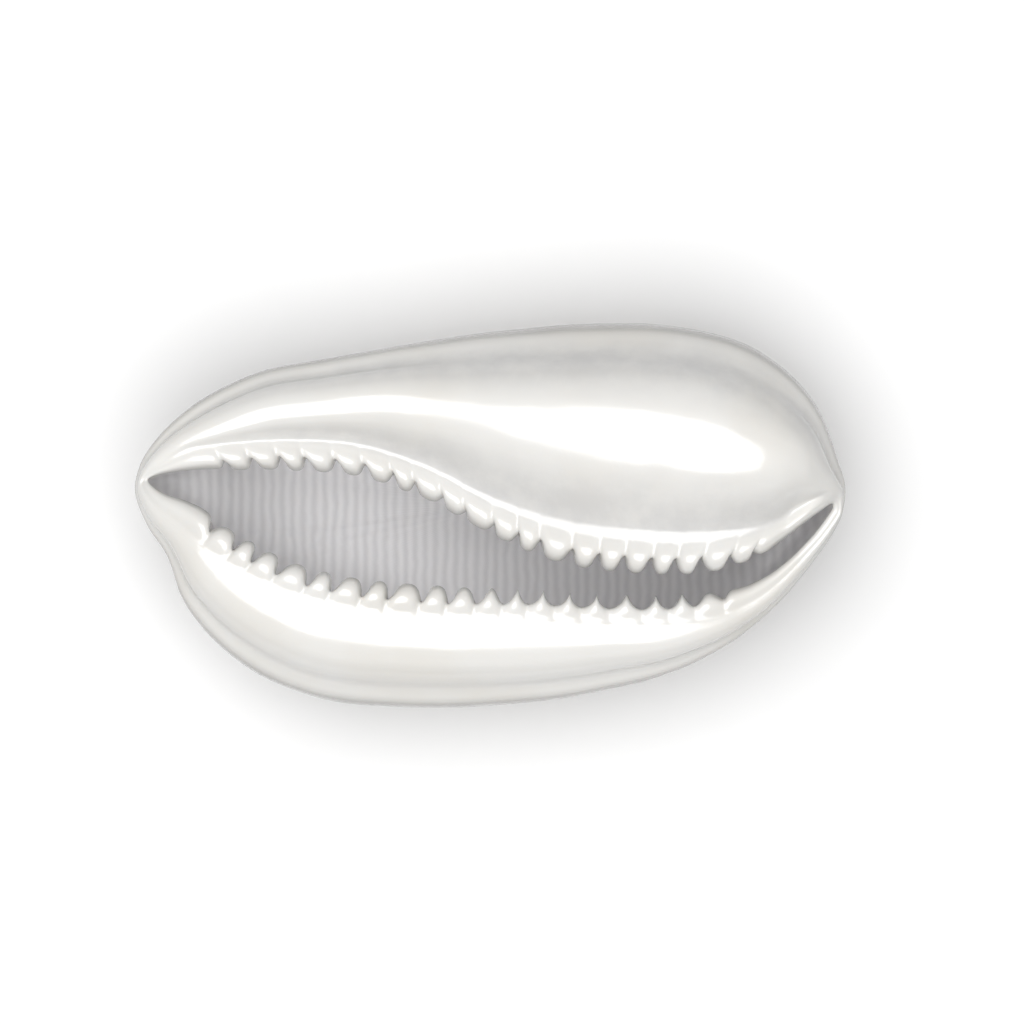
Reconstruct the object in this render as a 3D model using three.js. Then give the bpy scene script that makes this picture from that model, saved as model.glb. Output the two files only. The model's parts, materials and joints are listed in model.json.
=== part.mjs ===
// A cowrie shell, lying on its back with the toothed base up. Millimetres, +Z up.
// +X is the posterior (spire) end, -X the anterior end, +Y the columellar side and -Y the outer lip.
// The shell is one body: a sphere pressed in on itself through the aperture, so that each line of
// longitude runs from the resting spot round the back, over the base, into the aperture and down to
// the floor of the hollow.
import * as THREE from "three";

// Driving dimensions.
const HALF_LENGTH = 40;
const MARGIN_HEIGHT = 22.5; // widest outline above the resting spot, at mid length
const TIP_RISE = 4; // extra height of that outline at the two ends
const DOME_FULLNESS = 0.94; // 1 makes the back an ellipse, and less makes it fuller
const COLUMELLAR_SWELL = 13; // swelling of the base above the margin, on each side of the aperture
const LABRAL_SWELL = 10.2;
const COLUMELLAR_SPAN = 26; // width of base at which each swelling reaches its full height
const LABRAL_SPAN = 13;
const SWELL_POWER = 0.6; // how its height grows with the base's width
const COLUMELLAR_RUN = 0.52; // where its top lies, as a share of the way from margin to lip
const LABRAL_RUN = 0.8;
const LIP_FALL = 0.3; // how far the columellar lip lies below that top, as a share of the swelling
const NARROW = 4; // the columellar side takes on its full form as the base widens between these
const BROAD = 16;
const SIDE_BLEND = 3; // half the width over which one side's form turns into the other's
const RIM_GROOVE = 1.0; // depth of the groove just inside the margin
const VALLEY = 1.2; // depth of the valley between the columellar swelling and its lip
const LIP_BAND = 3.2; // width of the rounded lip along the aperture
const FULL_DETAIL_SPAN = 7; // the lip's details shrink where the base is narrower than this
const LEAST_DETAIL = 0.3;
const TOOTH_DEPTH = 1.5; // how far a furrow between two teeth cuts back from the lip's edge
const FIRST_FURROW = 0.45; // depth of the furrow at each end of a row, as a share of the full depth
const FURROW_GROWTH = 0.28; // how much deeper each next furrow is, until the full depth
const WALL = 2.3; // thickness of the back
const ROOF = 4.6; // thickness of the base beside the aperture
const HOLLOW_SHARE = 0.885; // outline of the hollow, as a share of the body's outline
const BEAK_LENGTH = 3; // a beak that stands out this far or more has a full canal
const BEAK_FADE = 14; // how fast a beak dies away down the back
const FLAT_SPOT = 0.14; // resting spot, as a share of the outline
const HOLLOW_TOP = 1; // how far the top of the hollow's wall lies below the margin
const CANAL_FALL = 2.5; // how much lower the hollow's roof lies at the two beaks, over the canals
const CANAL_DEPTH = 6; // how much lower the top of its wall lies there
const REST = new THREE.Vector3(1.4, 1.3, 0); // centre of the resting spot

// Places round the aperture, from the anterior tip along the columellar side to the posterior tip
// and back along the outer lip: a point of the aperture's edge, the margin abreast of it, and how
// far the beak at each tip stands out from the rounded body.
const STATIONS = [
  { lip: [-38.4, 4.0], margin: [-40.0, 2.9], beak: 4.5 },
  { lip: [-35.4, 4.8], margin: [-38.9, 6.9], beak: 3.1 },
  { lip: [-29.5, 5.1], margin: [-34.0, 12.0], beak: 1.1 },
  { lip: [-22.0, 5.2], margin: [-26.5, 16.0] },
  { lip: [-14.5, 4.5], margin: [-18.0, 17.7] },
  { lip: [-7.0, 1.9], margin: [-9.0, 19.4] },
  { lip: [0.5, -2.2], margin: [1.0, 20.9] },
  { lip: [8.0, -5.0], margin: [11.0, 21.8] },
  { lip: [15.5, -6.1], margin: [20.5, 21.6] },
  { lip: [23.0, -6.2], margin: [29.5, 19.1] },
  { lip: [30.0, -4.5], margin: [36.0, 13.5] },
  { lip: [35.5, -0.6], margin: [39.1, 6.0], beak: 1.2 },
  { lip: [38.7, 1.6], margin: [40.0, 1.9], beak: 2.2 },
  { lip: [35.8, -2.7], margin: [37.2, -3.9], beak: 1.5 },
  { lip: [29.5, -7.5], margin: [30.2, -12.0] },
  { lip: [21.5, -8.8], margin: [21.5, -17.4] },
  { lip: [12.5, -8.8], margin: [11.5, -20.1] },
  { lip: [3.5, -8.4], margin: [1.0, -21.5] },
  { lip: [-6.0, -8.2], margin: [-9.5, -21.8] },
  { lip: [-14.5, -7.4], margin: [-20.0, -20.6] },
  { lip: [-22.0, -5.6], margin: [-28.5, -16.4] },
  { lip: [-28.5, -2.2], margin: [-34.3, -10.2], beak: 0.8 },
  { lip: [-33.5, 1.5], margin: [-36.4, -4.6], beak: 2.3 },
  { lip: [-36.9, 2.7], margin: [-38.8, -0.8], beak: 3.8 },
];

// Teeth stand a pitch apart all round the aperture, apart from the smooth stretches at the two tips.
const PITCHES = 54;
const STEPS_PER_PITCH = 4;
const COLUMNS = PITCHES * STEPS_PER_PITCH;
const TOOTHED = [
  { first: 3, last: 23 },
  { first: 32, last: 51 },
];

const { lerp, smoothstep, degToRad } = THREE.MathUtils;

function closedCurve(points) {
  const curve = new THREE.CatmullRomCurve3(
    points.map(([x, y]) => new THREE.Vector3(x, y, 0)),
    true,
  );
  curve.arcLengthDivisions = 2000;
  return curve;
}

const lipCurve = closedCurve(STATIONS.map((s) => s.lip));
const marginCurve = closedCurve(STATIONS.map((s) => s.margin));
const bodyCurve = closedCurve(
  STATIONS.map(({ margin: [x, y], beak = 0 }) => [x - Math.sign(x) * beak, y]),
);

// How deep the furrow is at a column: 1 between two full teeth, 0 on a tooth or where there are none.
function furrowAt(column) {
  if (column % STEPS_PER_PITCH) return 0;
  const pitch = column / STEPS_PER_PITCH;
  const row = TOOTHED.find(({ first, last }) => pitch >= first && pitch <= last);
  if (!row) return 0;
  const steps = Math.min(pitch - row.first, row.last - pitch);
  return Math.min(1, FIRST_FURROW + FURROW_GROWTH * steps);
}

// Everything that the rings need to know about one column, or line of longitude. size shrinks the
// lip's details near the tips, where the base is narrow, and wide is 1 where the base is broad.
function columnAt(index) {
  const t = lipCurve.getUtoTmapping(index / COLUMNS);
  const lip = lipCurve.getPoint(t);
  const margin = marginCurve.getPoint(t);
  const body = bodyCurve.getPoint(t);
  const out = margin.clone().sub(lip);
  const span = out.length();
  out.normalize();
  const columellar = smoothstep(margin.y - lip.y, -SIDE_BLEND, SIDE_BLEND);
  const wide = columellar * smoothstep(span, NARROW, BROAD);
  const marginZ = MARGIN_HEIGHT + TIP_RISE * (margin.x / HALF_LENGTH) ** 2;
  const swell = lerp(
    LABRAL_SWELL * (span / LABRAL_SPAN) ** SWELL_POWER,
    COLUMELLAR_SWELL * (span / COLUMELLAR_SPAN) ** SWELL_POWER,
    columellar,
  );
  const size = Math.min(1, Math.max(LEAST_DETAIL, span / FULL_DETAIL_SPAN));
  const canal = Math.min(1, margin.distanceTo(body) / BEAK_LENGTH);
  const lipZ = marginZ + swell * (1 - LIP_FALL * wide);
  const furrow = furrowAt(index);
  return { lip, margin, body, out, span, wide, marginZ, swell, lipZ, size, canal, furrow };
}

// Dome of the back: angle 0 is the edge of the resting spot and 90 the margin.
const back = (degrees) => (c) => {
  const a = degToRad(degrees);
  const reach = FLAT_SPOT + (1 - FLAT_SPOT) * Math.sin(a) ** DOME_FULLNESS;
  const outline = c.body.clone().lerp(c.margin, reach ** BEAK_FADE);
  const rise = 1 - Math.cos(Math.min(a, Math.PI / 2)) ** DOME_FULLNESS;
  return REST.clone().lerp(outline, reach).setZ(c.marginZ * rise);
};

// The side of the swelling, from angle 0 at the margin to 90 at its top. groove sinks the ring in.
const flank = (degrees, groove = 0) => (c) => {
  const a = degToRad(degrees);
  const run = (c.span - LIP_BAND * c.size) * lerp(LABRAL_RUN, COLUMELLAR_RUN, c.wide);
  const sink = groove * RIM_GROOVE * c.size;
  return c.margin
    .clone()
    .addScaledVector(c.out, -run * (1 - Math.cos(a)) - sink * Math.cos(a))
    .setZ(c.marginZ + c.swell * Math.sin(a) - sink * Math.sin(a));
};

// From the top of the swelling, share 0, down to the rounded lip, share 1.
const slope = (share, valley = 0) => (c) => {
  const top = flank(90)(c);
  const edge = c.lip.clone().addScaledVector(c.out, LIP_BAND * c.size);
  const fall = 1 - Math.cos((share * Math.PI) / 2);
  return edge.lerp(top, 1 - share).setZ(lerp(top.z, c.lipZ, fall) - valley * VALLEY * c.wide);
};

// The rounded lip: a distance back from the aperture's edge and a depth below the lip's top.
const lip = (behind, depth, furrowBack, furrowDown) => (c) => {
  const cut = TOOTH_DEPTH * c.furrow * c.size;
  return c.lip
    .clone()
    .addScaledVector(c.out, behind * c.size + furrowBack * cut)
    .setZ(c.lipZ - depth * c.size - furrowDown * cut);
};

// The hollow: its roof under the base, then its wall, down to its floor.
const hollowOutline = (c) => REST.clone().lerp(c.body, HOLLOW_SHARE);
const roof = (share, thickness) => (c) => {
  const top = (c.marginZ + c.swell + c.lipZ) / 2;
  return c.lip.clone().lerp(hollowOutline(c), share).setZ(top - thickness - CANAL_FALL * c.canal);
};
const hollow = (degrees) => (c) => {
  const a = degToRad(degrees);
  return REST.clone()
    .lerp(hollowOutline(c), Math.sin(a))
    .setZ(lerp(WALL, c.marginZ - HOLLOW_TOP - CANAL_DEPTH * c.canal, 1 - Math.cos(a)));
};

// The rings of the sphere in order, from the resting spot to the middle of the hollow's floor.
const RINGS = [
  back(0),
  back(14),
  back(28),
  back(41),
  back(54),
  back(66),
  back(78),
  back(90),
  flank(22),
  flank(35, 1),
  flank(48, 0.3),
  flank(68),
  flank(90),
  slope(0.4),
  slope(0.75, 0.8),
  slope(1, 0.7),
  lip(2, -0.4, 0, 0.1),
  lip(0.8, 0, 0.3, 0.35),
  lip(0, 1.4, 1, 0.1),
  lip(0.2, 3.6, 0.7, 0),
  roof(0.18, ROOF + 1.2),
  roof(0.55, ROOF),
  hollow(90),
  hollow(66),
  hollow(42),
  hollow(18),
];

function shellGeometry() {
  const geometry = new THREE.SphereGeometry(1, COLUMNS, RINGS.length + 1);
  const position = geometry.getAttribute("position");
  for (let i = 0; i <= COLUMNS; i++) {
    const column = columnAt(i % COLUMNS);
    for (let k = 0; k <= RINGS.length + 1; k++) {
      let point = REST.clone();
      if (k === RINGS.length + 1) point.setZ(WALL);
      else if (k > 0) point = RINGS[k - 1](column);
      position.setXYZ(k * (COLUMNS + 1) + i, point.x, point.y, point.z);
    }
  }
  geometry.computeVertexNormals();
  return geometry;
}

const enamel = new THREE.MeshStandardMaterial({ color: 0xf1ede4, roughness: 0.22, metalness: 0 });
const shell = new THREE.Mesh(shellGeometry(), enamel);
shell.name = "shell";

const cowrie = new THREE.Group();
cowrie.add(shell);

export default cowrie;
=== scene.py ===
"""A cowrie shell lying on its domed back, with its toothed base up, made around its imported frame.

+X is the posterior (spire) end, -X the anterior end, +Y the columellar side and -Y the outer lip.
The shell is one skin: a sphere whose rings run from the resting spot round the back, over the base,
into the aperture and down to the floor of the hollow.
"""

import collections
import json
import math
import random

import bpy
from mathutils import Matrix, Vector

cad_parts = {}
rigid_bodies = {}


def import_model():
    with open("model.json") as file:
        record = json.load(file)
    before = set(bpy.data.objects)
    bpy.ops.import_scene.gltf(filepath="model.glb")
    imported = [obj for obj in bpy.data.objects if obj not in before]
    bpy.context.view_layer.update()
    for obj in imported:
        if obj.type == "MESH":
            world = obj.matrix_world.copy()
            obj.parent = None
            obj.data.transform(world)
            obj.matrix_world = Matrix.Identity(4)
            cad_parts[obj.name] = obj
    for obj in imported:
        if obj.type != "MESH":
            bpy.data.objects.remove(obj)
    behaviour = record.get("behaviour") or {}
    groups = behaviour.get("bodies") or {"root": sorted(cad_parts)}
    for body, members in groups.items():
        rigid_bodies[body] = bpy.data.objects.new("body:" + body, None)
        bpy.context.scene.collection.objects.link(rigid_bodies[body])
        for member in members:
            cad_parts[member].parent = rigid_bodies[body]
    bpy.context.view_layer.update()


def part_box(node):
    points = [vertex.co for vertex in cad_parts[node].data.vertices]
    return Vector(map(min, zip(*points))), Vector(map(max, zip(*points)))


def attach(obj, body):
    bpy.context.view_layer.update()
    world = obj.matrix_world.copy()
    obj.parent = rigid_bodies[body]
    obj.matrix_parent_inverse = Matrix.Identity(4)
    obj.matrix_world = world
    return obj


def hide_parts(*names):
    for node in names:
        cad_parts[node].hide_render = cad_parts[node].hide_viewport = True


bl_info = {
    "name": "Cowrie Shell",
    "version": (1, 0, 0),
    "blender": (4, 5, 0),
    "location": "3D View > Sidebar > Cowrie",
    "description": "Makes a glossy cowrie shell and a plain studio to show it in",
    "category": "Add Mesh",
}

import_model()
NODE = "shell"
LOW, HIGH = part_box(NODE)
DESIGN_LENGTH = 80.0  # the length that the stations below are given for, in millimetres
MM = (HIGH.x - LOW.x) / DESIGN_LENGTH
HALF_LENGTH = (HIGH.x - LOW.x) / 2

# Places round the aperture, in millimetres, from the anterior tip along the columellar side to the
# posterior tip and back along the outer lip: the aperture's edge, the margin abreast of it, and how
# far the beak at each tip stands out from the rounded body.
STATIONS = (
    ((-38.4, 4.0), (-40.0, 2.9), 4.5),
    ((-35.4, 4.8), (-38.9, 6.9), 3.1),
    ((-29.5, 5.1), (-34.0, 12.0), 1.1),
    ((-22.0, 5.2), (-26.5, 16.0), 0.0),
    ((-14.5, 4.5), (-18.0, 17.7), 0.0),
    ((-7.0, 1.9), (-9.0, 19.4), 0.0),
    ((0.5, -2.2), (1.0, 20.9), 0.0),
    ((8.0, -5.0), (11.0, 21.8), 0.0),
    ((15.5, -6.1), (20.5, 21.6), 0.0),
    ((23.0, -6.2), (29.5, 19.1), 0.0),
    ((30.0, -4.5), (36.0, 13.5), 0.0),
    ((35.5, -0.6), (39.1, 6.0), 1.2),
    ((38.7, 1.6), (40.0, 1.9), 2.2),
    ((35.8, -2.7), (37.2, -3.9), 1.5),
    ((29.5, -7.5), (30.2, -12.0), 0.0),
    ((21.5, -8.8), (21.5, -17.4), 0.0),
    ((12.5, -8.8), (11.5, -20.1), 0.0),
    ((3.5, -8.4), (1.0, -21.5), 0.0),
    ((-6.0, -8.2), (-9.5, -21.8), 0.0),
    ((-14.5, -7.4), (-20.0, -20.6), 0.0),
    ((-22.0, -5.6), (-28.5, -16.4), 0.0),
    ((-28.5, -2.2), (-34.3, -10.2), 0.8),
    ((-33.5, 1.5), (-36.4, -4.6), 2.3),
    ((-36.9, 2.7), (-38.8, -0.8), 3.8),
)

REST = Vector((1.4 * MM, 1.3 * MM, 0.0))  # centre of the resting spot
BEAK_LENGTH = 3 * MM  # a beak that stands out this far or more has a full canal
BEAK_FADE = 14  # how fast a beak dies away down the back

# The swelling of the base on each side of the aperture: the width of base at which it reaches its
# full height, how its height grows with that width, and where its top lies, as a share of the way
# from the margin to the lip.
COLUMELLAR_SPAN = 26 * MM
LABRAL_SPAN = 13 * MM
SWELL_POWER = 0.6
COLUMELLAR_RUN = 0.52
LABRAL_RUN = 0.8
LIP_FALL = 0.3  # how far the columellar lip lies below that top, as a share of the swelling
NARROW, BROAD = 4 * MM, 16 * MM  # the columellar side takes on its full form between these widths
SIDE_BLEND = 3 * MM  # half the width over which one side's form turns into the other's
FULL_DETAIL_SPAN = 7 * MM  # the lip's details shrink where the base is narrower than this
LEAST_DETAIL = 0.3

# The hollow, in millimetres: how far its wall's top lies below the margin, and how much lower its
# roof and that top lie over a full canal.
HOLLOW_TOP = 1
CANAL_FALL = 2.5
CANAL_DEPTH = 6

# Teeth stand a pitch apart all round the aperture, apart from the smooth stretches at the two tips.
# A column stands in the middle of each furrow, one close on each side of it and one in the middle
# of each tooth.
PITCHES = 54
STEPS = (0.0, 0.15, 0.5, 0.85)
COLUMNS = PITCHES * len(STEPS)
FURROW_STEP = 0
TOOTH_STEP = 2
UNEVEN_PITCH = 0.12  # furrows stand up to this far from their even places, in pitches
SEED = 11  # chooses how far each does

# How strong the teeth are along each lip, as (pitch, strength) pairs with straight lines between:
# the columellar row first, weak in the bend of the aperture, and then the row of the outer lip.
TEETH = (
    ((2, 0.0), (3, 0.4), (5, 0.7), (9, 0.65), (12, 0.35), (15, 0.85), (21, 0.85), (24, 0.0)),
    ((31, 0.0), (33, 0.7), (36, 1.0), (49, 1.0), (51, 0.55), (52, 0.0)),
)
ZIGZAG = ((31, 1.0), (38, 1.0), (42, 0.0))  # how wide the furrows open, along the outer lip
ZIGZAG_SIDE = -0.4  # relief of a tooth's sides beside a fully open furrow, in tooth depths
RELIEF_STEP = 0.1 * MM  # teeth are raised and sunk in whole steps of this
LEAN_BEFORE = -8 * MM  # furrows lean where they are nearer the anterior end than this
LEAN_RELIEF = 0.5  # and only on the rings that take more than this share of the relief

# The spire's dimple: its place on the skin, then each push and how far round it reaches.
SPIRE = Vector((37.5, 7.0, 17.0)) * MM
SPIRE_PUSHES = (
    (Vector((0.9, 0.5, -0.4)) * MM, 7 * MM),
    (Vector((-1.6, -0.7, 0.4)) * MM, 3 * MM),
)

BROAD_GRAIN, FINE_GRAIN = 16 * MM, 5 * MM  # size of the skin's waves
FINE_SHARE = 1 / 4  # strength of the fine ones against the broad ones
FLAT_BELOW = 0.06 * MM  # skin lower than this is laid flat on the resting spot's plane


def done(result):
    """Raises an error if a Blender operator didn't finish."""
    if "FINISHED" not in result:
        raise RuntimeError(f"an operator ended with {result}")


def smoothstep(low, high, x):
    t = min(1.0, max(0.0, (x - low) / (high - low)))
    return t * t * (3 - 2 * t)


def lerp(a, b, t):
    return a + (b - a) * t


def along_line(points, x):
    """Height at x of the line through these (x, height) points, and 0 outside it."""
    for (x0, y0), (x1, y1) in zip(points, points[1:]):
        if x0 <= x < x1:
            return lerp(y0, y1, (x - x0) / (x1 - x0))
    return 0.0


def with_height(point, z):
    return Vector((point.x, point.y, z))


# ---------------------------------------------------------------- sizes and colours


class CowrieSizes(bpy.types.PropertyGroup):
    """Sizes of the shell."""

    margin_height: bpy.props.FloatProperty(
        name="Margin Height",
        description="Height of the widest outline above the resting spot, at mid length",
        default=22.5 * MM,
        unit="LENGTH",
    )
    tip_rise: bpy.props.FloatProperty(
        name="Tip Rise",
        description="Extra height of the widest outline at the two tips",
        default=4.0 * MM,
        unit="LENGTH",
    )
    dome_fullness: bpy.props.FloatProperty(
        name="Dome Fullness",
        description="1 makes the back an ellipse, and less makes it fuller",
        default=0.94,
    )
    columellar_swell: bpy.props.FloatProperty(
        name="Columellar Swell",
        description="Height of the columellar side of the base above the margin",
        default=13.0 * MM,
        unit="LENGTH",
    )
    labral_swell: bpy.props.FloatProperty(
        name="Outer Lip Swell",
        description="Height of the outer lip above the margin",
        default=10.2 * MM,
        unit="LENGTH",
    )
    rim_groove: bpy.props.FloatProperty(
        name="Rim Groove",
        description="Depth of the groove just inside the margin",
        default=1.3 * MM,
        unit="LENGTH",
    )
    valley: bpy.props.FloatProperty(
        name="Valley",
        description="Depth of the valley between the columellar swelling and its lip",
        default=1.3 * MM,
        unit="LENGTH",
    )
    lip_band: bpy.props.FloatProperty(
        name="Lip Band",
        description="Width of the rounded lip along the aperture",
        default=3.2 * MM,
        unit="LENGTH",
    )
    tooth_depth: bpy.props.FloatProperty(
        name="Tooth Depth",
        description="How far a furrow cuts back between two teeth",
        default=2.3 * MM,
        unit="LENGTH",
    )
    tooth_crown: bpy.props.FloatProperty(
        name="Tooth Crown",
        description="How far the middle of a tooth stands out",
        default=0.42 * MM,
        unit="LENGTH",
    )
    tooth_side: bpy.props.FloatProperty(
        name="Tooth Side",
        description="How far the sides of a tooth stand out, which keeps its end broad",
        default=0.15 * MM,
        unit="LENGTH",
    )
    tooth_lean: bpy.props.FloatProperty(
        name="Tooth Lean",
        description="How far the front furrows lean towards the anterior end",
        default=0.3 * MM,
        unit="LENGTH",
    )
    wall: bpy.props.FloatProperty(
        name="Wall",
        description="Thickness of the back",
        default=2.3 * MM,
        unit="LENGTH",
    )
    roof: bpy.props.FloatProperty(
        name="Roof",
        description="Thickness of the base beside the aperture",
        default=4.6 * MM,
        unit="LENGTH",
    )
    hollow_share: bpy.props.FloatProperty(
        name="Hollow Share",
        description="Outline of the hollow as a share of the body's outline",
        default=0.885,
        subtype="FACTOR",
    )
    flat_spot: bpy.props.FloatProperty(
        name="Flat Spot",
        description="Resting spot as a share of the outline",
        default=0.14,
        subtype="FACTOR",
    )
    unevenness: bpy.props.FloatProperty(
        name="Unevenness",
        description="How far the grown surface waves about its smooth form",
        default=0.35 * MM,
        unit="LENGTH",
    )


def colour_property(name, description, default):
    return bpy.props.FloatVectorProperty(
        name=name,
        description=description,
        default=default,
        size=4,
        min=0.0,
        max=1.0,
        subtype="COLOR",
    )


class CowrieColours(bpy.types.PropertyGroup):
    """Colours of the shell and the studio."""

    enamel: colour_property("Enamel", "White enamel of the base", (0.76, 0.75, 0.725, 1.0))
    cream: colour_property("Cream", "Warmer patches in the enamel", (0.71, 0.685, 0.635, 1.0))
    # Painted shade: grey laid in the rim groove, down the flank and in the valley of the columellar
    # side.
    grey: colour_property("Grey", "Grey in the base's own hollows", (0.56, 0.555, 0.55, 1.0))
    # Partly the shell's own tint, partly painted shade darkening the underside and the edge seen
    # from above.
    back: colour_property("Back", "Warm grey tint on the domed back", (0.40, 0.365, 0.33, 1.0))
    # Painted shade: a dark band along the margin that darkens the shell's edge seen from above.
    margin: colour_property("Margin", "Line where the base meets the back", (0.14, 0.13, 0.12, 1.0))
    # Painted shade in the furrows between the teeth, with a warm tint.
    furrow: colour_property("Furrow", "Stain in the furrows between teeth", (0.42, 0.38, 0.33, 1.0))
    hollow: colour_property("Hollow", "Dull inside of the shell", (0.84, 0.83, 0.835, 1.0))
    rib: colour_property("Rib", "Finer, darker ribs across the hollow", (0.62, 0.61, 0.62, 1.0))
    floor: colour_property("Floor", "Studio floor", (0.93, 0.93, 0.93, 1.0))


# ---------------------------------------------------------------- outlines and columns


def curve_point(points, t):
    """A point of the closed centripetal Catmull-Rom curve through the points, for t from 0 to 1."""
    count = len(points)
    place = t * count
    k = int(place)
    w = place - k
    p0, p1, p2, p3 = (points[(k + step) % count] for step in (-1, 0, 1, 2))
    d0, d1, d2 = (math.sqrt((b - a).length) for a, b in ((p0, p1), (p1, p2), (p2, p3)))
    leave = ((p1 - p0) / d0 - (p2 - p0) / (d0 + d1) + (p2 - p1) / d1) * d1
    arrive = ((p2 - p1) / d1 - (p3 - p1) / (d1 + d2) + (p3 - p2) / d2) * d1
    square = p1 * -3 + p2 * 3 - leave * 2 - arrive
    cube = p1 * 2 - p2 * 2 + leave + arrive
    return p1 + leave * w + square * w**2 + cube * w**3


def steps_along(points, shares):
    """Curve parameters at these shares of the curve's length."""
    samples = 4000
    total, lengths, last = 0.0, [0.0], curve_point(points, 0.0)
    for i in range(1, samples + 1):
        here = curve_point(points, (i / samples) % 1.0)
        total += (here - last).length
        lengths.append(total)
        last = here
    steps, i = [], 0
    for share in shares:
        goal = total * share
        while lengths[i + 1] < goal:
            i += 1
        steps.append((i + (goal - lengths[i]) / (lengths[i + 1] - lengths[i])) / samples)
    return steps


class Column:
    """Everything that the rings need to know about one line of longitude.

    wide is 1 where the columellar base is broad, size shrinks the lip's details near the tips,
    canal is 1 over a full canal, and strength is that of the teeth there."""

    def __init__(self, index, t, even_t, outlines, sizes):
        self.sizes = sizes
        self.lip, self.margin, self.body = (curve_point(points, t) for points in outlines)
        self.hollow = REST.lerp(curve_point(outlines[2], even_t), sizes.hollow_share)
        self.out = self.margin - self.lip
        self.span = self.out.length
        self.out.normalize()
        columellar = smoothstep(-SIDE_BLEND, SIDE_BLEND, self.margin.y - self.lip.y)
        self.wide = columellar * smoothstep(NARROW, BROAD, self.span)
        self.margin_z = sizes.margin_height + sizes.tip_rise * (self.margin.x / HALF_LENGTH) ** 2
        self.swell = lerp(
            sizes.labral_swell * (self.span / LABRAL_SPAN) ** SWELL_POWER,
            sizes.columellar_swell * (self.span / COLUMELLAR_SPAN) ** SWELL_POWER,
            columellar,
        )
        self.size = min(1.0, max(LEAST_DETAIL, self.span / FULL_DETAIL_SPAN))
        self.lip_z = self.margin_z + self.swell * (1 - LIP_FALL * self.wide)
        self.pitch, self.step = divmod(index, len(STEPS))
        self.strength = sum(along_line(row, self.pitch) for row in TEETH)
        self.canal = min(1.0, (self.margin - self.body).length / BEAK_LENGTH)

    def relief(self):
        """How far the lip stands out at this column, before its ring's share: teeth and furrows."""
        if self.step == FURROW_STEP:
            return -self.sizes.tooth_depth * self.strength
        if self.step == TOOTH_STEP:
            return self.sizes.tooth_crown * self.strength
        open_side = along_line(ZIGZAG, self.pitch)
        side = lerp(self.sizes.tooth_side, ZIGZAG_SIDE * self.sizes.tooth_depth, open_side)
        return side * self.strength


def make_columns(sizes):
    """The cage's columns, which follow slightly uneven teeth and stand evenly in the hollow."""
    lips = [Vector((*lip, 0.0)) * MM for lip, margin, beak in STATIONS]
    margins = [Vector((*margin, 0.0)) * MM for lip, margin, beak in STATIONS]
    bodies = [
        Vector((x - math.copysign(beak, x), y, 0.0)) * MM for lip, (x, y), beak in STATIONS
    ]
    chance = random.Random(SEED)
    moves = [chance.uniform(-UNEVEN_PITCH, UNEVEN_PITCH) for pitch in range(PITCHES)]
    moves[0] = 0.0  # the first column stays at the curve's start
    shares = []
    for pitch in range(PITCHES):
        start, end = moves[pitch], 1 + moves[(pitch + 1) % PITCHES]
        shares += [(pitch + lerp(start, end, step)) / PITCHES for step in STEPS]
    steps = steps_along(lips, shares)
    even_steps = steps_along(lips, [i / COLUMNS for i in range(COLUMNS)])
    outlines = (lips, margins, bodies)
    return [Column(i, steps[i], even_steps[i], outlines, sizes) for i in range(COLUMNS)]


# ---------------------------------------------------------------- rings of the cage


def back(degrees):
    """A ring of the domed back: 0 is the edge of the resting spot and 90 the margin."""
    a = math.radians(degrees)

    def place(c):
        flat, fullness = c.sizes.flat_spot, c.sizes.dome_fullness
        reach = flat + (1 - flat) * math.sin(a) ** fullness
        outline = c.body.lerp(c.margin, reach**BEAK_FADE)
        rise = 1 - max(0.0, math.cos(a)) ** fullness
        return with_height(REST.lerp(outline, reach), c.margin_z * rise)

    return place


def flank(degrees, groove=0.0):
    """A ring up the side of the swelling: 0 is the margin and 90 the top. groove sinks it in."""
    a = math.radians(degrees)

    def place(c):
        run = (c.span - c.sizes.lip_band * c.size) * lerp(LABRAL_RUN, COLUMELLAR_RUN, c.wide)
        sink = groove * c.sizes.rim_groove * c.size
        point = c.margin - c.out * (run * (1 - math.cos(a)) + sink * math.cos(a))
        return with_height(point, c.margin_z + c.swell * math.sin(a) - sink * math.sin(a))

    return place


def slope(share, valley=0.0):
    """A ring from the top of the swelling, share 0, to the rounded lip, share 1."""

    def place(c):
        top = flank(90)(c)
        edge = c.lip + c.out * (c.sizes.lip_band * c.size)
        height = lerp(top.z, c.lip_z, 1 - math.cos(share * math.pi / 2))
        return with_height(top.lerp(edge, share), height - valley * c.sizes.valley * c.wide)

    return place


def lip(behind, depth):
    """A ring of the lip, behind the aperture's edge and below the lip's top, in millimetres."""

    def place(c):
        point = c.lip + c.out * (behind * MM * c.size)
        return with_height(point, c.lip_z - depth * MM * c.size)

    return place


def roof(share, extra):
    """A ring of the hollow's roof, from the lip, share 0, to the hollow's outline, share 1.

    extra is how much thicker the base is there than beside the aperture, in millimetres."""

    def place(c):
        top = (c.margin_z + c.swell + c.lip_z) / 2
        height = top - c.sizes.roof - (extra + CANAL_FALL * c.canal) * MM
        return with_height(c.lip.lerp(c.hollow, share), height)

    return place


def hollow(degrees):
    """A ring of the hollow's wall: 90 is its outline and 0 the middle of its floor."""
    a = math.radians(degrees)

    def place(c):
        top = c.margin_z - (HOLLOW_TOP + CANAL_DEPTH * c.canal) * MM
        height = lerp(c.sizes.wall, top, 1 - math.cos(a))
        return with_height(REST.lerp(c.hollow, math.sin(a)), height)

    return place


# A ring: where it lies, the share of a tooth's relief that it takes, how far inside the shell it
# counts as being, and how much painted shade, a grey laid where shade falls, it takes on the
# columellar side.
Ring = collections.namedtuple("Ring", "place relief inside grey", defaults=(0.0, 0.0, 0.0))

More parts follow.
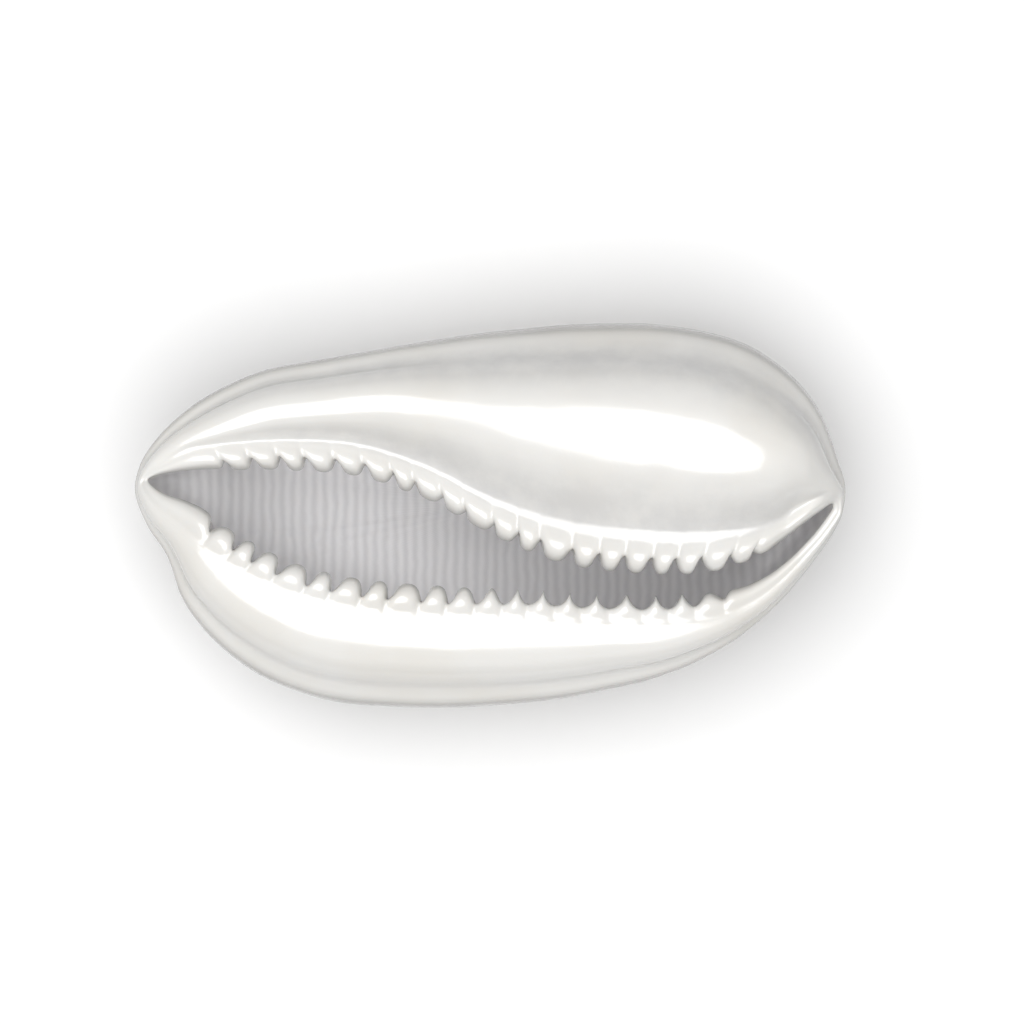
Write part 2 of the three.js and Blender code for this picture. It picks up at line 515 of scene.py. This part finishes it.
# The rings in order, from the resting spot to the middle of the hollow's floor.
RINGS = (
    Ring(back(0)),
    Ring(back(13)),
    Ring(back(27)),
    Ring(back(41)),
    Ring(back(55)),
    Ring(back(68)),
    Ring(back(80)),
    Ring(back(90)),
    Ring(flank(13)),
    Ring(flank(24, -0.1)),
    # The grey below is painted shade: in the rim groove, down the flank and in the valley above the
    # lip.
    Ring(flank(35, 1.0), grey=0.7),
    Ring(flank(48, 0.3), grey=1.0),
    Ring(flank(62), grey=0.5),
    Ring(flank(77)),
    Ring(flank(90)),
    Ring(slope(0.35), grey=0.2),
    Ring(slope(0.65, 0.6), grey=0.7),
    Ring(slope(0.88, 1.0), grey=1.0),
    Ring(lip(2.8, 0.1), relief=0.05, grey=0.2),
    Ring(lip(1.8, -0.35), relief=0.35),
    Ring(lip(0.85, -0.15), relief=0.85),
    Ring(lip(0.15, 0.9), relief=1.4),
    Ring(lip(0.0, 2.2), relief=1.5, inside=0.15),
    Ring(lip(0.5, 4.4), relief=0.9, inside=0.6),
    Ring(roof(0.3, 1.0), inside=1.0),
    Ring(hollow(90), inside=1.0),
    Ring(hollow(50), inside=1.0),
    Ring(hollow(9), inside=1.0),
)


# ---------------------------------------------------------------- modelling the shell


def deselect_all():
    for o in bpy.context.view_layer.objects:
        o.select_set(False)


def activate(piece):
    deselect_all()
    piece.select_set(True)
    bpy.context.view_layer.objects.active = piece


def select_vertices(piece, chosen):
    """Selects these vertices of the piece and leaves it in edit mode."""
    done(bpy.ops.object.mode_set(mode="EDIT"))
    bpy.ops.mesh.select_mode(type="VERT")  # cancelled where that is the mode already
    done(bpy.ops.mesh.select_all(action="DESELECT"))
    done(bpy.ops.object.mode_set(mode="OBJECT"))
    for index in chosen:
        piece.data.vertices[index].select = True
    done(bpy.ops.object.mode_set(mode="EDIT"))


def leave_edit_mode():
    done(bpy.ops.object.mode_set(mode="OBJECT"))


def apply_modifier(piece, name):
    activate(piece)
    done(bpy.ops.object.modifier_apply(modifier=name))


def add_cage(columns):
    """A sphere with a pole at the resting spot, each ring of it then put in its place.

    Returns the piece and its vertex numbers by ring and column."""
    deselect_all()
    spans = len(RINGS) + 1
    done(
        bpy.ops.mesh.primitive_uv_sphere_add(
            segments=COLUMNS, ring_count=spans, radius=HALF_LENGTH, location=(0, 0, 0)
        )
    )
    piece = bpy.context.object
    piece.name = piece.data.name = "cowrie_shell"
    places = {}
    for vertex in piece.data.vertices:
        latitude = math.asin(max(-1, min(1, vertex.co.z / HALF_LENGTH)))
        ring = round((0.5 + latitude / math.pi) * spans)
        turn = 0.5 - math.atan2(vertex.co.y, vertex.co.x) / math.tau
        column = round(turn * COLUMNS) % COLUMNS
        if ring == 0:
            vertex.co = REST
        elif ring == spans:
            vertex.co = with_height(REST, columns[0].sizes.wall)
        else:
            vertex.co = RINGS[ring - 1].place(columns[column])
            places[ring - 1, column] = vertex.index
    if len(places) != len(RINGS) * COLUMNS:
        raise RuntimeError("the sphere's rings and columns don't match the shell's")
    return piece, places


def carve_teeth(piece, places, columns):
    """Raises teeth and sinks furrows along the surface's own normals."""
    reliefs = [round(c.relief() / RELIEF_STEP) for c in columns]
    for k, ring in enumerate(RINGS):
        if not ring.relief:
            continue
        for relief in sorted(set(reliefs) - {0}):
            select_vertices(piece, [places[k, i] for i, r in enumerate(reliefs) if r == relief])
            done(bpy.ops.transform.shrink_fatten(value=relief * RELIEF_STEP * ring.relief))
            leave_edit_mode()


def lean_furrows(piece, places, columns, shift):
    """Leans the furrows of the front part towards the anterior end."""
    front = [
        i
        for i, c in enumerate(columns)
        if c.step == FURROW_STEP and c.strength and c.lip.x < LEAN_BEFORE
    ]
    for k, ring in enumerate(RINGS):
        if ring.relief > LEAN_RELIEF:
            select_vertices(piece, [places[k, i] for i in front])
            done(bpy.ops.transform.translate(value=(-shift * ring.relief, 0, 0)))
            leave_edit_mode()


def push(piece, target, move, reach):
    """Moves the skin round the vertex nearest the target, falling off smoothly over the reach."""
    nearest = min(piece.data.vertices, key=lambda v: (v.co - target).length)
    select_vertices(piece, [nearest.index])
    done(
        bpy.ops.transform.translate(
            value=move,
            use_proportional_edit=True,
            proportional_edit_falloff="SMOOTH",
            proportional_size=reach,
            use_proportional_connected=True,
        )
    )
    leave_edit_mode()


def dent_spire(piece):
    """The sunken spire: a low callus round a small dimple, beside the posterior canal."""
    for move, reach in SPIRE_PUSHES:
        push(piece, SPIRE, move, reach)


def add_attribute(piece, name, values):
    attribute = piece.data.attributes.new(name, "FLOAT", "POINT")
    attribute.data.foreach_set("value", values)


def mark_surface(piece, places, columns):
    """Stores what the enamel's pattern follows, at each vertex.

    furrow is how far the vertex belongs to a furrow and inside how far to the hollow, along is its
    place from the resting spot, 0, to the hollow's floor, 1, and the painted shade, a grey where
    shade falls on the columellar side, is that of its ring."""
    count = len(piece.data.vertices)
    furrow, inside, along, grey = ([0.0] * count for name in range(4))
    for (k, column), index in places.items():
        ring, c = RINGS[k], columns[column]
        if c.step == FURROW_STEP:
            furrow[index] = min(1.0, ring.relief) * c.strength
        inside[index] = ring.inside
        along[index] = (k + 1) / len(RINGS)
        grey[index] = ring.grey * c.wide
    floor = with_height(REST, columns[0].sizes.wall)  # the pole there is on no ring
    pole = min(piece.data.vertices, key=lambda v: (v.co - floor).length)
    inside[pole.index] = along[pole.index] = 1.0
    add_attribute(piece, "furrow", furrow)
    add_attribute(piece, "inside", inside)
    add_attribute(piece, "along", along)
    add_attribute(piece, "grey", grey)


def subdivide(piece, levels):
    modifier = piece.modifiers.new("smooth skin", "SUBSURF")
    modifier.levels = modifier.render_levels = levels
    modifier.use_limit_surface = False
    apply_modifier(piece, modifier.name)


def ripple(piece, name, grain, strength):
    """Waves the surface with cloudy noise of that grain, as growth leaves it."""
    clouds = bpy.data.textures.new(name, "CLOUDS")
    clouds.noise_scale = grain
    clouds.noise_depth = 1
    modifier = piece.modifiers.new(name, "DISPLACE")
    modifier.texture = clouds
    modifier.texture_coords = "LOCAL"
    modifier.mid_level = 0.5
    modifier.strength = strength
    apply_modifier(piece, modifier.name)


def flatten_resting_spot(piece):
    """Lays whatever reaches down to the resting spot flat on the surface the shell lies on."""
    low = [v.index for v in piece.data.vertices if v.co.z < FLAT_BELOW]
    select_vertices(piece, low)
    done(bpy.ops.transform.resize(value=(1, 1, 0), center_override=(0, 0, 0)))
    leave_edit_mode()


class COWRIE_OT_shell(bpy.types.Operator):
    """Makes the cowrie shell in place of its plain solid"""

    bl_idname = "cowrie.shell"
    bl_label = "Make Shell"
    bl_options = {"REGISTER", "UNDO"}

    def execute(self, context):
        sizes = context.scene.cowrie_sizes
        columns = make_columns(sizes)
        piece, places = add_cage(columns)
        carve_teeth(piece, places, columns)
        lean_furrows(piece, places, columns, sizes.tooth_lean)
        dent_spire(piece)
        mark_surface(piece, places, columns)
        subdivide(piece, levels=2)
        ripple(piece, "broad unevenness", BROAD_GRAIN, sizes.unevenness)
        ripple(piece, "fine unevenness", FINE_GRAIN, sizes.unevenness * FINE_SHARE)
        flatten_resting_spot(piece)
        done(bpy.ops.object.shade_smooth())
        piece.data.materials.append(enamel_material(context.scene.cowrie_colours))
        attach(piece, "root")
        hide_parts(NODE)
        return {"FINISHED"}


# ---------------------------------------------------------------- enamel

# Where the enamel changes on the way from the resting spot, 0, to the hollow's floor, 1. The margin
# lies at 8 rings out of 28, or 0.286.
# The back's tint is partly the shell's own and partly painted shade on the underside.
BACK_ENDS = (0.29, 0.37)
# A band of painted shade along the margin, which darkens the shell's edge seen from above.
EDGE_SHADE_STARTS = (0.17, 0.3)
EDGE_SHADE_ENDS = (0.315, 0.375)
EDGE_SHADE_STRENGTH = 0.85
GLOSS = (0.15, 0.26)  # roughness of the enamel, at its smoothest and at its dullest
HOLLOW_DULLNESS = 0.3  # what the hollow adds to that


class Nodes:
    """Adds nodes to one material's tree, and links each to what feeds it."""

    def __init__(self, tree):
        self.tree = tree

    def add(self, kind, inputs=None, **settings):
        """A node with these settings. An input is a value, or the socket that feeds it."""
        node = self.tree.nodes.new(kind)
        for name, value in settings.items():
            setattr(node, name, value)
        for socket, value in (inputs or {}).items():
            if isinstance(value, bpy.types.NodeSocket):
                self.tree.links.new(value, node.inputs[socket])
            else:
                node.inputs[socket].default_value = value
        return node

    def noise(self, where, scale, detail=2.0, roughness=0.5):
        """Cloudy noise from 0 to 1. Its scale is in clouds per metre."""
        inputs = {"Vector": where, "Scale": scale, "Detail": detail, "Roughness": roughness}
        return self.add("ShaderNodeTexNoise", inputs).outputs["Fac"]

    def scale_to(self, value, low, high, to_low, to_high):
        """The value moved smoothly from the range low to high to the range to_low to to_high."""
        inputs = {"Value": value, 1: low, 2: high, 3: to_low, 4: to_high}
        return self.add("ShaderNodeMapRange", inputs, interpolation_type="SMOOTHSTEP").outputs[0]

    def mix(self, share, a, b):
        """Colour a where share is 0 and b where it is 1."""
        inputs = {0: share, 6: a, 7: b}
        return self.add("ShaderNodeMix", inputs, data_type="RGBA").outputs[2]

    def times(self, a, b):
        return self.add("ShaderNodeMath", {0: a, 1: b}, operation="MULTIPLY").outputs[0]

    def plus(self, a, b):
        return self.add("ShaderNodeMath", {0: a, 1: b}, operation="ADD").outputs[0]

    def attribute(self, name):
        return self.add("ShaderNodeAttribute", attribute_name=name).outputs["Fac"]


def enamel_material(colours):
    """Glossy white enamel, with a mottled back, painted shade in the furrows, on the columellar
    side and along the margin, and a duller, ribbed hollow. The back's tint is partly painted shade
    too.
    """
    material = bpy.data.materials.new("shell enamel")
    material.use_nodes = True
    tree = material.node_tree
    tree.nodes.clear()
    nodes = Nodes(tree)
    where = nodes.add("ShaderNodeTexCoord").outputs["Object"]
    furrow, inside, along, grey = (
        nodes.attribute(name) for name in ("furrow", "inside", "along", "grey")
    )

    # Clouds of cream in the white, then painted shade: patchy grey in the groove, flanks and
    # valley.
    clouds = nodes.scale_to(nodes.noise(where, 60.0, 4.0), 0.42, 0.68, 0.0, 1.0)
    colour = nodes.mix(nodes.times(clouds, 0.5), tuple(colours.enamel), tuple(colours.cream))
    shade_patchiness = nodes.scale_to(nodes.noise(where, 260.0, 4.0, 0.6), 0.3, 0.7, 0.45, 0.85)
    colour = nodes.mix(nodes.times(grey, shade_patchiness), colour, tuple(colours.grey))

    # The mottled back, partly the shell's tint and partly painted shade, then a band of painted
    # shade along the margin that darkens the edge seen from above.
    behind = nodes.scale_to(along, *BACK_ENDS, 1.0, 0.0)
    mottling = nodes.scale_to(nodes.noise(where, 110.0, 5.0, 0.6), 0.35, 0.7, 0.35, 0.8)
    colour = nodes.mix(nodes.times(behind, mottling), colour, tuple(colours.back))
    below = nodes.scale_to(along, *EDGE_SHADE_STARTS, 0.0, 1.0)
    above = nodes.scale_to(along, *EDGE_SHADE_ENDS, 1.0, 0.0)
    line = nodes.times(nodes.times(below, above), EDGE_SHADE_STRENGTH)
    colour = nodes.mix(line, colour, tuple(colours.margin))

    # Painted shade in the furrows between the teeth, with a warm tint.
    furrow_shade_patchiness = nodes.scale_to(nodes.noise(where, 500.0, 3.0), 0.3, 0.7, 0.45, 0.9)
    painted_furrow_shade = nodes.times(nodes.scale_to(furrow, 0.25, 1.0, 0.0, 1.0), furrow_shade_patchiness)
    colour = nodes.mix(painted_furrow_shade, colour, tuple(colours.furrow))

    # The hollow, with fine ribs across it.
    ribs = nodes.add(
        "ShaderNodeTexWave",
        {"Vector": where, "Scale": 270.0, "Distortion": 2.6, "Detail": 3.0, "Detail Scale": 0.9},
        bands_direction="X",
    ).outputs["Fac"]
    ribbed = nodes.mix(nodes.times(ribs, 0.5), tuple(colours.hollow), tuple(colours.rib))
    within = nodes.scale_to(inside, 0.05, 0.9, 0.0, 1.0)
    colour = nodes.mix(within, colour, ribbed)

    gloss = nodes.scale_to(nodes.noise(where, 90.0, 4.0, 0.6), 0.3, 0.75, *GLOSS)
    roughness = nodes.plus(gloss, nodes.times(inside, HOLLOW_DULLNESS))

    # The finest relief: growth lines, pits, and the hollow's ribs, which stand up in patches.
    growth = nodes.add(
        "ShaderNodeTexWave",
        {"Vector": where, "Scale": 55.0, "Distortion": 3.0, "Detail": 2.0},
        bands_direction="Y",
    ).outputs["Fac"]
    pits = nodes.noise(where, 2200.0, 2.0)
    patches = nodes.scale_to(nodes.noise(where, 140.0, 2.0), 0.35, 0.65, 0.25, 1.0)
    raised = nodes.times(nodes.times(nodes.times(ribs, patches), within), 1.3)
    relief = nodes.plus(nodes.plus(nodes.times(growth, 0.6), nodes.times(pits, 0.25)), raised)
    bump = nodes.add("ShaderNodeBump", {"Height": relief, "Strength": 0.25, "Distance": 0.00012})

    shader = nodes.add(
        "ShaderNodeBsdfPrincipled",
        {
            "Base Color": colour,
            "Roughness": roughness,
            "Normal": bump.outputs["Normal"],
            "IOR": 1.5,
            "Subsurface Weight": 0.12,
            "Subsurface Radius": (1.0, 0.85, 0.7),
            "Subsurface Scale": 1.2 * MM,
            "Coat Weight": 0.25,
            "Coat Roughness": 0.12,
        },
    )
    output = nodes.add("ShaderNodeOutputMaterial")
    tree.links.new(shader.outputs[0], output.inputs["Surface"])
    return material


# ---------------------------------------------------------------- stage


# Places and sizes in the studio, in metres.
KEY_PLACE, KEY_SIZE = (-0.04, -0.02, 0.75), (0.85, 0.6)
FILL_PLACE, FILL_SIZE = (0.1, -0.7, 0.45), (0.7, 0.25)
FLOOR_SIZE = 6.0
FLOOR_SHADE = 0.985  # tone of the floor's darker parts against the rest
NEAREST, FURTHEST = 0.01, 20.0  # what the camera can see


class CowrieStage(bpy.types.PropertyGroup):
    """Camera and lights of the studio."""

    look_at: bpy.props.FloatVectorProperty(
        name="Look At",
        description="The point that the camera looks down on",
        default=(2.42 * MM, 0.39 * MM, 25 * MM),
        subtype="TRANSLATION",
        unit="LENGTH",
    )
    view_width: bpy.props.FloatProperty(
        name="View Width",
        description="Width of what the camera sees at the point it looks at",
        default=115.4 * MM,
        unit="LENGTH",
    )
    lens: bpy.props.FloatProperty(
        name="Lens",
        description="Focal length; a long one shows the shell with little perspective",
        default=260.0,
        unit="CAMERA",
    )
    key_power: bpy.props.FloatProperty(
        name="Key Power",
        description="Power of the large softbox overhead",
        default=7.6,
        unit="POWER",
    )
    fill_power: bpy.props.FloatProperty(
        name="Fill Power",
        description="Power of the softbox on the outer lip's side",
        default=0.15,
        unit="POWER",
    )
    sky: bpy.props.FloatProperty(
        name="Sky",
        description="Brightness of the surroundings",
        default=0.06,
    )


def add_softbox(name, place, target, size, power):
    """Adds an oval light of this width and height at a place, facing its target."""
    light = bpy.data.lights.new(name, "AREA")
    light.shape = "ELLIPSE"
    light.size, light.size_y = size
    light.energy = power
    lamp = bpy.data.objects.new(name, light)
    lamp.location = place
    lamp.rotation_mode = "QUATERNION"
    lamp.rotation_quaternion = (Vector(target) - Vector(place)).to_track_quat("-Z", "Y")
    bpy.context.scene.collection.objects.link(lamp)


def floor_material(colour):
    """Matt painted board, with the faintest unevenness in its tone."""
    material = bpy.data.materials.new("pale floor")
    material.use_nodes = True
    nodes = Nodes(material.node_tree)
    where = nodes.add("ShaderNodeTexCoord").outputs["Object"]
    shade = tuple(channel * FLOOR_SHADE for channel in colour[:3]) + (1.0,)
    colour = nodes.mix(nodes.noise(where, 30.0, 3.0), tuple(colour), shade)
    shader = material.node_tree.nodes["Principled BSDF"]
    material.node_tree.links.new(colour, shader.inputs["Base Color"])
    shader.inputs["Roughness"].default_value = 0.85
    return material


class COWRIE_OT_stage(bpy.types.Operator):
    """Makes the floor, the lights and the camera above the shell"""

    bl_idname = "cowrie.stage"
    bl_label = "Make Stage"
    bl_options = {"REGISTER", "UNDO"}

    def execute(self, context):
        scene = context.scene
        stage = scene.cowrie_stage
        deselect_all()
        done(bpy.ops.mesh.primitive_plane_add(size=FLOOR_SIZE, location=(0, 0, 0)))
        floor = context.object
        floor.name = floor.data.name = "floor"
        floor.data.materials.append(floor_material(scene.cowrie_colours.floor))

        target = Vector(stage.look_at)
        add_softbox("key softbox", KEY_PLACE, target, KEY_SIZE, stage.key_power)
        add_softbox("fill softbox", FILL_PLACE, target, FILL_SIZE, stage.fill_power)

        world = bpy.data.worlds.new("surroundings")
        world.use_nodes = True
        background = world.node_tree.nodes["Background"]
        background.inputs["Color"].default_value = (1.0, 1.0, 1.0, 1.0)
        background.inputs["Strength"].default_value = stage.sky
        scene.world = world

        camera = bpy.data.cameras.new("camera")
        camera.lens = stage.lens
        distance = stage.view_width * camera.lens / camera.sensor_width
        camera.clip_start, camera.clip_end = NEAREST, FURTHEST
        eye = bpy.data.objects.new("camera", camera)
        eye.location = target + Vector((0.0, 0.0, distance))
        scene.collection.objects.link(eye)
        scene.camera = eye
        scene.view_settings.view_transform = "Standard"
        return {"FINISHED"}


# ---------------------------------------------------------------- panel and registration


class COWRIE_PT_panel(bpy.types.Panel):
    """Lists the shell's sizes, its colours and the steps that make it"""

    bl_idname = "COWRIE_PT_panel"
    bl_label = "Cowrie Shell"
    bl_space_type = "VIEW_3D"
    bl_region_type = "UI"
    bl_category = "Cowrie"

    def draw(self, context):
        scene = context.scene
        for group in (scene.cowrie_sizes, scene.cowrie_colours, scene.cowrie_stage):
            box = self.layout.box()
            for name in group.bl_rna.properties.keys():
                if name not in ("rna_type", "name"):
                    box.prop(group, name)
        self.layout.operator(COWRIE_OT_shell.bl_idname)
        self.layout.operator(COWRIE_OT_stage.bl_idname)


CLASSES = (
    CowrieSizes,
    CowrieColours,
    CowrieStage,
    COWRIE_OT_shell,
    COWRIE_OT_stage,
    COWRIE_PT_panel,
)


def register():
    for cls in CLASSES:
        bpy.utils.register_class(cls)
    bpy.types.Scene.cowrie_sizes = bpy.props.PointerProperty(type=CowrieSizes)
    bpy.types.Scene.cowrie_colours = bpy.props.PointerProperty(type=CowrieColours)
    bpy.types.Scene.cowrie_stage = bpy.props.PointerProperty(type=CowrieStage)


def unregister():
    del bpy.types.Scene.cowrie_stage
    del bpy.types.Scene.cowrie_colours
    del bpy.types.Scene.cowrie_sizes
    for cls in reversed(CLASSES):
        bpy.utils.unregister_class(cls)


def main():
    register()
    done(bpy.ops.cowrie.shell())
    done(bpy.ops.cowrie.stage())


if __name__ == "__main__":
    main()
